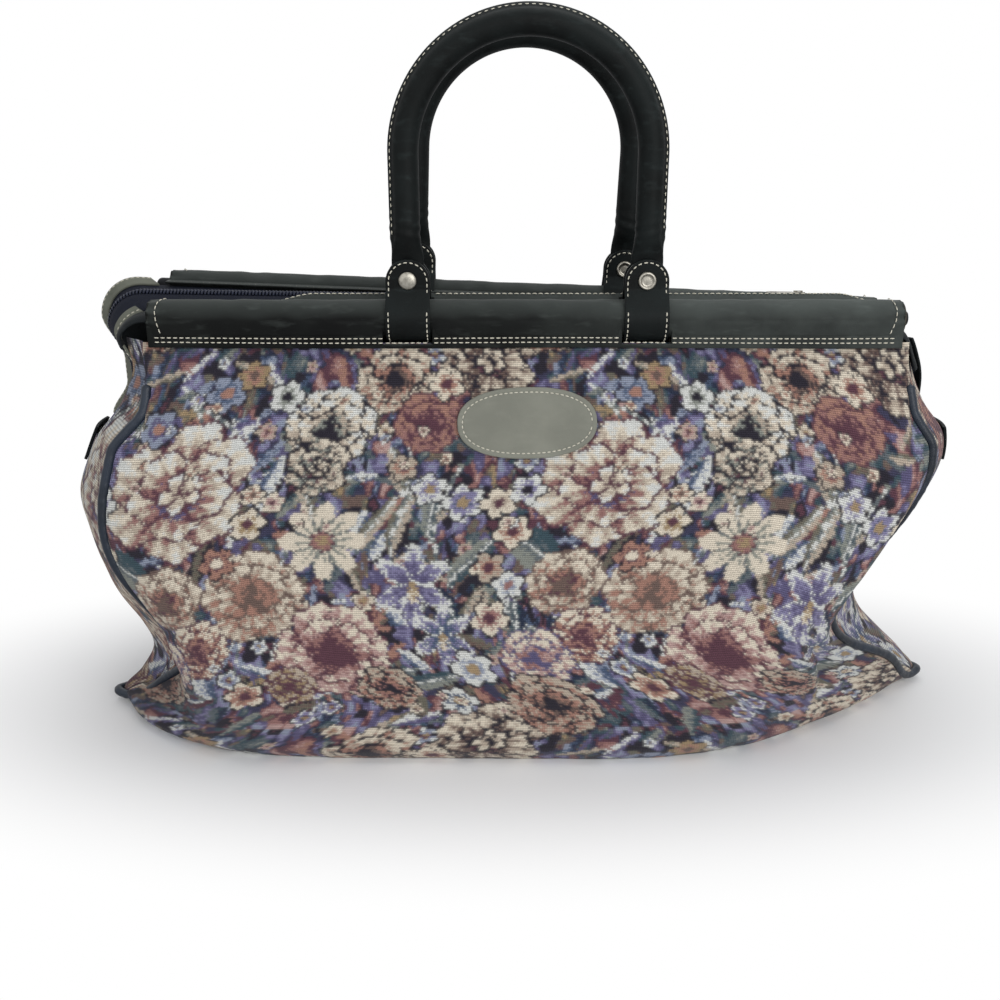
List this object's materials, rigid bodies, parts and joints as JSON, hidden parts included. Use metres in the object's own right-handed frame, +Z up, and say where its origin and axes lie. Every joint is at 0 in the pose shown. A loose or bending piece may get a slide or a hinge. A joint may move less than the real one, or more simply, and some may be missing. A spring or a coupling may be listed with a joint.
{
  "type": "carpet bag",
  "caption": "Floral tapestry travel bag with a flat base, padded leather rails, rolled leather handles and a zip along the top.",
  "frame": {"origin": "on the floor under the middle of the bag's rest face", "axes": "+X along the bag to its right end, +Y from the front to the back, +Z up"},
  "size_m": [0.6338, 0.2093, 0.4876],
  "materials": {
    "tapestry": "woven floral tapestry",
    "piping": "soft sheen",
    "rail_leather": "worn satin",
    "strap_leather": "satin",
    "trim_leather": "worn matt",
    "patch_leather": "worn matt",
    "rod": "black",
    "padding": "soft filling",
    "cord": "twisted cord",
    "tape": "woven tape",
    "teeth": "moulded",
    "aged_metal": "antique nickel"
  },
  "bodies": {
    "bag": {"body_panel": "tapestry", "left_gusset": "tapestry", "right_gusset": "tapestry", "left_piping": "piping", "right_piping": "piping", "leather_patch": "patch_leather", "front_rail_sleeve": "rail_leather", "back_rail_sleeve": "rail_leather", "front_rail_rod": "rod", "back_rail_rod": "rod", "front_rail_padding": "padding", "back_rail_padding": "padding", "front_zip_tape": "tape", "back_zip_tape": "tape", "front_zip_teeth": "teeth", "back_zip_teeth": "teeth", "left_front_trim": "trim_leather", "left_back_trim": "trim_leather", "right_front_trim": "trim_leather", "right_back_trim": "trim_leather", "left_end_tab": "strap_leather", "right_end_tab": "strap_leather"},
    "front_handle": {"front_handle": "strap_leather", "front_handle_core": "cord", "front_left_tab": "strap_leather", "front_right_tab": "strap_leather", "front_left_rivet": "aged_metal", "front_right_rivet": "aged_metal"},
    "back_handle": {"back_handle": "strap_leather", "back_handle_core": "cord", "back_left_tab": "strap_leather", "back_right_tab": "strap_leather", "back_left_rivet": "aged_metal", "back_right_rivet": "aged_metal"},
    "zip_slider": {"zip_slider": "aged_metal"},
    "zip_pull": {"zip_pull": "aged_metal"}
  },
  "joints": [
    {"name": "front_handle_swing", "type": "hinge", "parent": "bag", "child": "front_handle", "pos_m": [0, -0.04, 0.298], "axis": [1, 0, 0], "range_deg": [-8, 100]},
    {"name": "back_handle_swing", "type": "hinge", "parent": "bag", "child": "back_handle", "pos_m": [0, 0.035, 0.2965], "axis": [-0.9993, 0, 0.0384], "range_deg": [-8, 100]},
    {"name": "zip_slide", "type": "slide", "parent": "bag", "child": "zip_slider", "axis": [-0.9999, 0, 0.0154], "range_m": [0, 0.43], "deforming": ["front_zip_teeth", "back_zip_teeth"]},
    {"name": "zip_pull_swing", "type": "hinge", "parent": "zip_slider", "child": "zip_pull", "pos_m": [0.1851, -0.0025, 0.30762], "axis": [0, 1, 0], "range_deg": [0, 180]}
  ]
}
